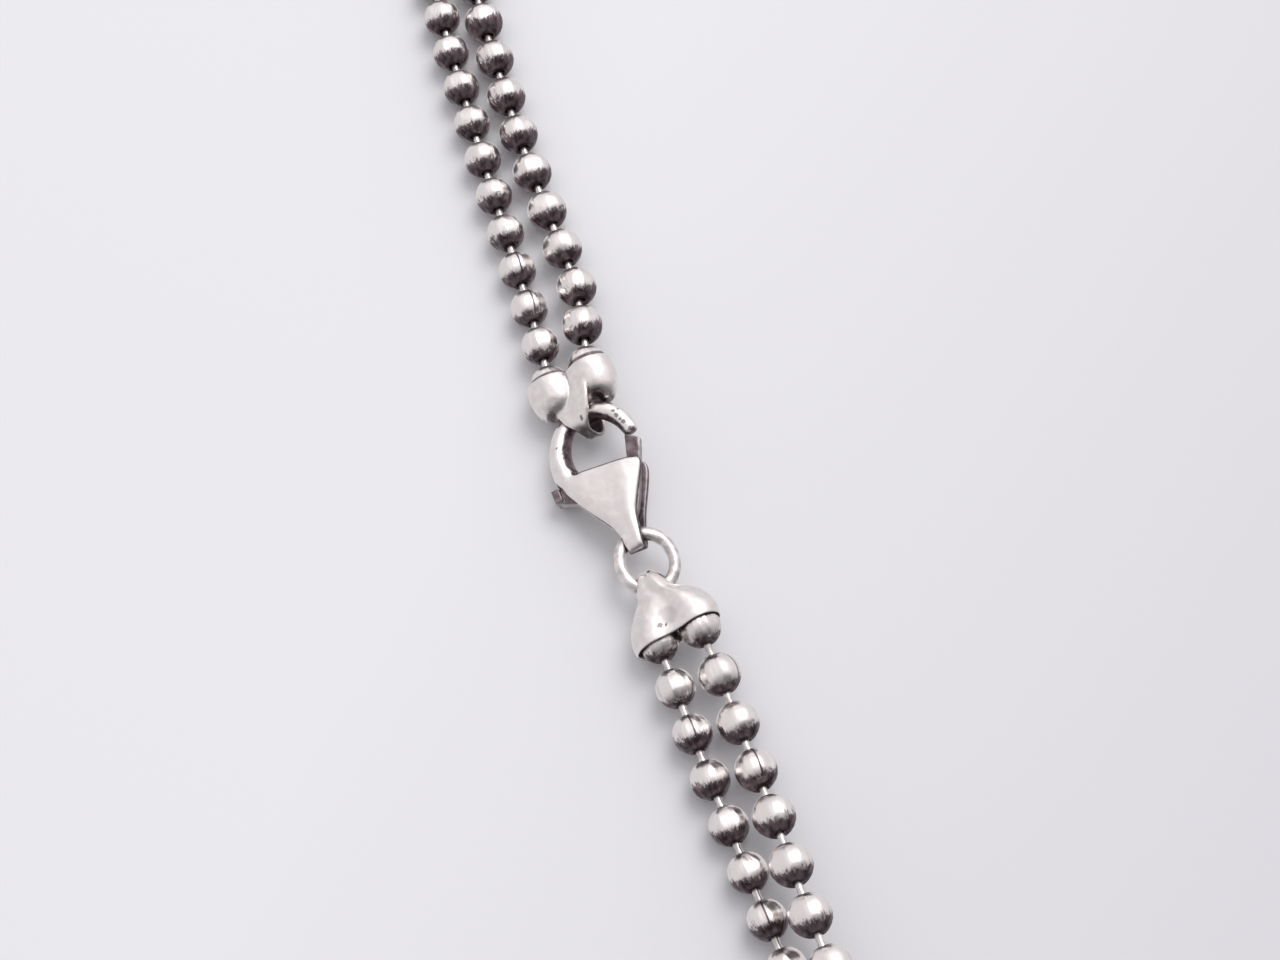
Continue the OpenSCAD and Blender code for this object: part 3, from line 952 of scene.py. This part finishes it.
# %% Lay silver on a shader
def lay_silver(tree, shader, spot, dark, satin, hammered=0.03, unit=MM):
    """Gives a shader worn silver: bright where dark is 0, and the film colour where it is 1,
    which also stands for painted shade. Satin is the bright silver's roughness, hammered
    the depth of its dents in millimetres."""
    blotch = noise(tree, spot, grain_of(BLOTCH, unit), 3)
    film = mix(tree, between(tree, blotch, 0.35, 0.7), tint(FILM_AND_SHADE_DEEP), tint(FILM_AND_SHADE_PALE))
    colour = mix(tree, dark, tint(SILVER), film)
    rough = between(tree, dark, 0, 1, satin, FILM_AND_SHADE_ROUGH, soft=False)
    facets = add_node(tree, "TexVoronoi", {"Vector": spot, "Scale": grain_of(FACET, unit)})
    dents = noise(tree, spot, grain_of(DENT, unit), 1)
    lines = noise(tree, spot, grain_of(HAIRLINE, unit), 3)
    uneven = combine(tree, "ADD", dents, facets.outputs["Distance"])
    waves = add_node(tree, "Bump", {"Height": uneven, "Distance": hammered * MM, "Strength": 1})
    relief = add_node(tree, "Bump", {"Height": lines, "Distance": HAIRLINE_DEEP * MM,
                                     "Strength": 1, "Normal": waves.outputs[0]})
    shader.inputs["Metallic"].default_value = 1
    tree.links.new(colour, shader.inputs["Base Color"])
    tree.links.new(rough, shader.inputs["Roughness"])
    tree.links.new(relief.outputs[0], shader.inputs["Normal"])


# %% [markdown]
# ## Rolled bead silver
# The beads carry most of the film. It lies round the holes and along the seam.
# Over the low side the same colour is painted shade, standing for the dark near
# side of the room that the beads mirror, and its edge is drawn out into short
# streaks along the chain, where polishing went to and fro. `bead_place` is squeezed
# along the bead's axis, so the noise that frays the edge is four times as long as
# wide. Where beads touch each other or a cup, an ambient occlusion node finds the
# gap, which is darkened as film and as painted shade. Past the upper cup's rim the
# beads get a painted shadow line.

# %% Patterns on a bead
SQUEEZE = 0.25
STREAK_SCALE = 5.5
CLOUD_SCALE = 1.3

bead_silver, tree, shader = fresh("rolled_silver_beads")
place = add_node(tree, "Attribute", attribute_name="bead_place").outputs["Vector"]
tone = add_node(tree, "Attribute", attribute_name="bead_tone").outputs["Fac"]
spot = add_node(tree, "TexCoord").outputs["Object"]
drawn = vector(tree, "MULTIPLY", place, (1, 1, SQUEEZE))
shift = add_node(tree, "CombineXYZ", {"Z": tone}).outputs[0]
spread = vector(tree, "ADD", drawn, shift)
streaks = noise(tree, spread, STREAK_SCALE, 4, Roughness=0.7)
clouds = noise(tree, place, CLOUD_SCALE, 3)

# %% Film and painted shade on a bead
LOW_EDGE = (-0.12, 0.2)
# Along the bead from its middle and across its seam, in millimetres
HOLE_EDGE = (1.16, 1.4)
SEAM_EDGE = (0.04, 0.1)

# Painted shade over the low side, standing for the dark near side of the room that the beads mirror
frayed = combine(tree, "ADD", turned_to(tree, PAINTED_SHADE_SIDE), fray(tree, streaks, 0.55),
                 fray(tree, clouds, 0.35), between(tree, tone, 0, 1, -0.58, 0.27, soft=False))
low_side_shade = between(tree, frayed, *LOW_EDGE)
apart = add_node(tree, "SeparateXYZ", {0: place})
from_middle = unsigned(tree, apart.outputs[2])
ragged = combine(tree, "ADD", from_middle, between(tree, streaks, 0, 1, -0.15, 0.15))
film_hole = between(tree, ragged, *HOLE_EDGE)
from_seam = unsigned(tree, apart.outputs[1])
seam_side = between(tree, apart.outputs[0], 0.05, 0.3)
film_seam = combine(tree, "MULTIPLY", between(tree, from_seam, *SEAM_EDGE, 1, 0), seam_side)
# Dark where beads touch each other or a cup: film in part, painted shade in part
gap_film_and_shade = between(tree, openness(tree, 0.45, 6), 0.55, 0.92, 0.95, 0)


# %% Film and painted shade on the beads in the cups
def film_and_shade_past_rim(cup, full, none, share):
    """Film and painted shade on the two beads in a cup, fading from full to none past its rim, in
    millimetres.
    """
    past = vector(tree, "SUBTRACT", spot, cup @ (Vector((0, RIM, 0)) * MM))
    onward = vector(tree, "DOT_PRODUCT", past, cup.to_3x3() @ Vector((0, 1, 0)))
    far = vector(tree, "LENGTH", past)
    return combine(tree, "MULTIPLY", between(tree, onward, full * MM, none * MM, share, 0),
                   between(tree, far, 3.8 * MM, 4.2 * MM, 1, 0))


# Upper cup: a painted shadow line just past the rim. Lower cup: a faint film over the domes.
rim_films_and_shade = [film_and_shade_past_rim(upper_place, 0.28, 0.42, 0.95), film_and_shade_past_rim(lower_place, 1.5, 1.6, 0.12)]
dark = combine(tree, "MAXIMUM", low_side_shade, film_hole, film_seam, gap_film_and_shade, *rim_films_and_shade)
lay_silver(tree, shader, spread, dark, 0.3, hammered=0.15, unit=1)
print("bead finish:", len(tree.nodes), "nodes")

# %% [markdown]
# ## Cast and drawn silver
# The cups and the clasp are cast, and their skin is smoother and better rubbed
# than the beads. The ring and the wires are drawn wire. It is duller, with a thin
# film all over. Deep corners, which an ambient occlusion node finds, get the thick
# film colour, as film in part and as painted shade in part. The parts that look down
# get it as painted shade. A few casting pits stay dark too. The crease between the
# strap and the left lobe and a few hollows of the upper cup are painted dark as
# painted shade.

# %% Pits and dark spots
# Height counts only this much, so that a spot reaches deep
PIT_REACH = 0.3
# Each spot holds its place, its radius in millimetres and how dark it is
CLASP_PITS = [
    ((-35.99, 3, 3.38), 0.13, 0.85), ((-35.87, 2.6, 3.4), 0.13, 0.85), ((-35.7, 2.2, 3.44), 0.1, 0.85),
    ((-35.56, 1.95, 3.47), 0.14, 0.85), ((-35.12, 1.26, 3.53), 0.2, 0.85),
    ((-35.62, 3.01, 3.43), 0.07, 0.85), ((-40.59, 1.71, 2.34), 0.1, 0.85),
    ((-40.44, 1.19, 2.48), 0.08, 0.85), ((-40.33, 0.82, 2.51), 0.11, 0.85)]
# Pits of the cups. The third spot is a wide, faint darkening of the lower cup's valley.
CUP_PITS_AND_SHADE = [
    ((-37.62, -13.64, 3.41), 0.2, 0.8), ((-37.2, -13.72, 3.43), 0.12, 0.8),
    ((-36.9, -13.1, 3.4), 0.6, 0.3), ((-38.3, 3.06, 3.24), 0.1, 0.8), ((-38.33, 3.2, 3.24), 0.09, 0.8)]
# Painted shade on the upper cup: the opening beside the strap where the hook passes, the rear of the bail,
# the underside of the left lobe, and a spot on the strap near its tip
UPPER_CUP_SHADE = [
    ((1.4, -2.85, 0.8), 0.5, 0.95), ((0.3, -4.8, -0.8), 0.75, 0.7),
    ((-2.3, -2.8, 0.5), 0.36, 0.8), ((-0.5, -4.7, 0.4), 0.3, 0.45)]
# A row of painted shade spots along the crease between the strap and the left lobe
for along in [0.05 - 0.2 * k for k in range(9)]:
    crease_at = (-0.1 - 0.07 * along ** 2, along, 1.2)
    UPPER_CUP_SHADE.append((crease_at, 0.12, 0.8 + 0.3 * along))
CUP_PITS_AND_SHADE += [(upper_place @ (Vector(at) * MM) / MM, r, share) for at, r, share in UPPER_CUP_SHADE]
print("dark spots:", len(CLASP_PITS), "on the clasp and", len(CUP_PITS_AND_SHADE), "on the cups")


def pitted(tree, spot, pits):
    """Masks for dark spots with a ragged edge."""
    ragged = fray(tree, noise(tree, spot, grain_of(0.2), 2), 0.16 * MM)
    flat = vector(tree, "MULTIPLY", spot, (1, 1, PIT_REACH))
    masks = []
    for (x, y, z), r, share in pits:
        away = vector(tree, "DISTANCE", flat, (x * MM, y * MM, z * PIT_REACH * MM))
        away = combine(tree, "ADD", away, ragged)
        masks.append(between(tree, away, r * 0.8 * MM, r * 1.5 * MM, share, 0))
    return masks


# %% Cast finish
def cast_finish(name, satin, veil, pits=(), extra_shade=None):
    """Smooth silver. Veil is thin film all over. The last argument adds painted shade,
    from its own nodes."""
    finish, tree, shader = fresh(name)
    spot = add_node(tree, "TexCoord").outputs["Object"]
    corner = openness(tree, 0.7, 8)
    tight = openness(tree, 0.3, 6)
    cloud = noise(tree, spot, grain_of(0.6), 4)
    # Deep corners and tight gaps: film in part, painted shade in part. Parts that look down: painted shade.
    shaded = combine(tree, "ADD", between(tree, corner, 0, 0.75, 1, 0, soft=False),
                     fray(tree, cloud, 0.3))
    shade_below = combine(tree, "ADD", turned_to(tree, PAINTED_SHADE_SIDE), fray(tree, cloud, 0.5))
    masks = [between(tree, shaded, 0.35, 0.85), between(tree, tight, 0.65, 0.95, 0.9, 0),
             between(tree, shade_below, 0.55, 0.9, 0, 0.8), between(tree, cloud, 0.3, 0.7, 0, veil),
             *pitted(tree, spot, pits)]
    if extra_shade:
        masks.append(extra_shade(tree, spot, cloud))
    lay_silver(tree, shader, spot, combine(tree, "MAXIMUM", *masks), satin)
    print(name, "has", len(tree.nodes), "nodes")
    return finish


# %% [markdown]
# ## Painted shade inside the clasp
# The inner wall of the hook, the walls of the slot and the top face between the
# plates lie in shade, so they get the film colour as painted shade. Each
# of them is found by where it lies in the clasp and by which way it faces.

# %% Painted shade inside the clasp
HOOK_MIDDLE = Vector((-0.1, 5.5, 0)) * MM


def painted_shade_inside(tree, spot, cloud):
    """Painted shade on the clasp's inner surfaces: the inner wall of the hook, the slot, its right wall and
    the top face between the plates.
    """
    clasp_turn = clasp_place.to_3x3()
    rightward, upward, level = [clasp_turn @ Vector(way) for way in ((1, 0, 0), (0, 1, 0), (0, 0, 1))]
    inward = vector(tree, "SUBTRACT", clasp_place @ HOOK_MIDDLE, spot)
    far = vector(tree, "LENGTH", inward)
    inward = vector(tree, "NORMALIZE", inward)
    ragged = combine(tree, "ADD", turned_to(tree, inward), fray(tree, cloud, 0.25))
    hook_wall = combine(tree, "MULTIPLY", between(tree, ragged, 0.12, 0.45),
                        between(tree, far, 3.2 * MM, 3.6 * MM, 1, 0))
    here = vector(tree, "SUBTRACT", spot, clasp_place.translation)
    depth = unsigned(tree, vector(tree, "DOT_PRODUCT", here, level))
    height = vector(tree, "DOT_PRODUCT", here, upward)
    in_body = between(tree, height, 3.7 * MM, 4.1 * MM, 1, 0)
    in_slot = combine(tree, "MULTIPLY", between(tree, depth, 0.55 * MM, 0.68 * MM, 1, 0), in_body)
    right_wall = combine(tree, "MULTIPLY", between(tree, turned_to(tree, rightward), 0.5, 0.75),
                         between(tree, depth, 1.0 * MM, 1.15 * MM, 1, 0), in_body)
    top_wall = combine(tree, "MULTIPLY", between(tree, turned_to(tree, upward), 0.35, 0.6),
                       between(tree, height, 1.6 * MM, 2.0 * MM),
                       between(tree, height, 3.9 * MM, 4.3 * MM, 1, 0))
    return combine(tree, "MAXIMUM", hook_wall, in_slot, right_wall, top_wall)


# %% Cast and drawn finishes
cup_silver = cast_finish("cast_silver_cups", 0.24, 0.12, CUP_PITS_AND_SHADE)
clasp_silver = cast_finish("cast_silver_clasp", 0.28, 0.08, CLASP_PITS, painted_shade_inside)
ring_silver = cast_finish("drawn_silver_ring", 0.4, 0.45)
wire_silver = cast_finish("drawn_silver_wire", 0.3, 0.45)

# %% [markdown]
# ## Darkened lever
# The lever is stamped from sheet. It sits in its slot and is hardly ever rubbed,
# so its flat faces are dark all over, and its narrow sides nearly as much. This
# dark is film in part and painted shade in part, for the lever lies in the slot's
# shade. Only its edges shine, where it slides on the body. An edge is found by how
# far the rounded normal leans away from the flat faces.

# %% Lever finish
lever_silver, tree, shader = fresh("darkened_silver_lever")
spot = add_node(tree, "TexCoord").outputs["Object"]
flat_way = clasp_place.to_3x3() @ Vector((0, 0, 1))
flat = unsigned(tree, turned_to(tree, flat_way))
cloud = noise(tree, spot, grain_of(0.4), 4)
worn = combine(tree, "ADD", flat, fray(tree, cloud, 0.15))
# Film and painted shade on the flat faces and, nearly as much, on the narrow sides
faces_dark = between(tree, worn, 0.6, 0.95, 0.05, 0.95)
sides_dark = between(tree, worn, 0.1, 0.45, 0.65, 0.05)
lay_silver(tree, shader, spot, combine(tree, "MAXIMUM", faces_dark, sides_dark), 0.3)

# %% [markdown]
# ## Dress the model
# Now each piece takes the place of the CAD solid that it stands for, and rides on
# that solid's body: the lever on its own, the rest on the necklace. The solid gets the
# same finish, in case it is shown by itself.

# %% Dress the pieces
DRESS = [
    (outer_strand, "necklace", "bead_silver", bead_silver, "beads_left"),
    (inner_strand, "necklace", "bead_silver", bead_silver, "beads_right"),
    (outer_wire, "necklace", "wire_silver", wire_silver, "wire_left"),
    (inner_wire, "necklace", "wire_silver", wire_silver, "wire_right"),
    (upper_cup, "necklace", "cup_silver", cup_silver, "end_cup_upper"),
    (lower_cup, "necklace", "cup_silver", cup_silver, "end_cup_lower"),
    (clasp, "necklace", "clasp_silver", clasp_silver, "clasp_body"),
    (pin, "necklace", "clasp_silver", clasp_silver, "clasp_pin"),
    (ring, "necklace", "ring_silver", ring_silver, "jump_ring"),
    (lever, "lever", "lever_silver", lever_silver, "clasp_lever")]
for piece, body, slot, finish, node in DRESS:
    for dressed in (piece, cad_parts[node]):
        dressed.data.materials.clear()
        dressed.data.materials.append(finish)
    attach(piece, body)
    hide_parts(node)
print("pieces dressed:", len(DRESS))

# %% [markdown]
# ## Floor and light
# The necklace lies on a pale sheet, whose colour is painted darker towards the
# right and the near edge as painted shade. Soft window light comes from the far
# side, a little from the right, so shadows fall softly to the near left. The near
# side of the room is dark, and the beads mirror it in their lower halves.

# %% Floor
# Painted light and shade on the sheet: lighter on the left, darker to the right
SHEET_LIT = "E7E7E9"
SHEET_SHADED = "D5D4D7"
SHADE_HALF = 40

bpy.ops.object.select_all(action="DESELECT")
bpy.ops.mesh.primitive_plane_add(size=20)
floor = bpy.context.object
floor.name = "floor"
floor.visible_glossy = False
paper, tree, shader = fresh("pale_sheet")
spot = add_node(tree, "TexCoord").outputs["Object"]
shady_way = (to_right * 0.92 - ahead * 0.38).normalized()
across = vector(tree, "DOT_PRODUCT", spot, shady_way)
shade = between(tree, across, -SHADE_HALF * MM, SHADE_HALF * MM, soft=False)
sheet = mix(tree, shade, tint(SHEET_LIT), tint(SHEET_SHADED))
tree.links.new(sheet, shader.inputs["Base Color"])
shader.inputs["Roughness"].default_value = 0.9
floor.data.materials.append(paper)

# %% Light
DARK_SIDE = (ahead * -0.9 + to_right * 0.42).normalized()
KEY_WAY = (ahead * 0.5135 + to_right * 0.264 + Vector((0, 0, 0.815))).normalized()
ROOM_BRIGHT = 0.76
ROOM_DARK = 0.16
WINDOW_GLOW = 0.32

room = bpy.data.worlds.new("room")
room.use_nodes = True
tree = room.node_tree
tree.nodes.clear()
toward = add_node(tree, "TexCoord").outputs["Generated"]
glow = between(tree, vector(tree, "DOT_PRODUCT", toward, KEY_WAY), 0.3, 0.98, 0, WINDOW_GLOW)
darkness = vector(tree, "DOT_PRODUCT", toward, DARK_SIDE)
gloom = between(tree, darkness, 0.1, 0.75, ROOM_BRIGHT, ROOM_DARK)
strength = combine(tree, "ADD", gloom, glow)
air = add_node(tree, "Background", {"Color": tint("FDFBFF"), "Strength": strength})
add_node(tree, "OutputWorld", {"Surface": air.outputs[0]})
bpy.context.scene.world = room

window = bpy.data.lights.new("window", "AREA")
window.shape = "DISK"
window.size = 0.7
window.energy = 4.0
window_box = bpy.data.objects.new("window", window)
window_box.location = LOOK_AT + KEY_WAY
window_box.rotation_euler = KEY_WAY.to_track_quat("Z", "Y").to_euler()
bpy.context.scene.collection.objects.link(window_box)
bpy.context.scene.view_settings.view_transform = "Standard"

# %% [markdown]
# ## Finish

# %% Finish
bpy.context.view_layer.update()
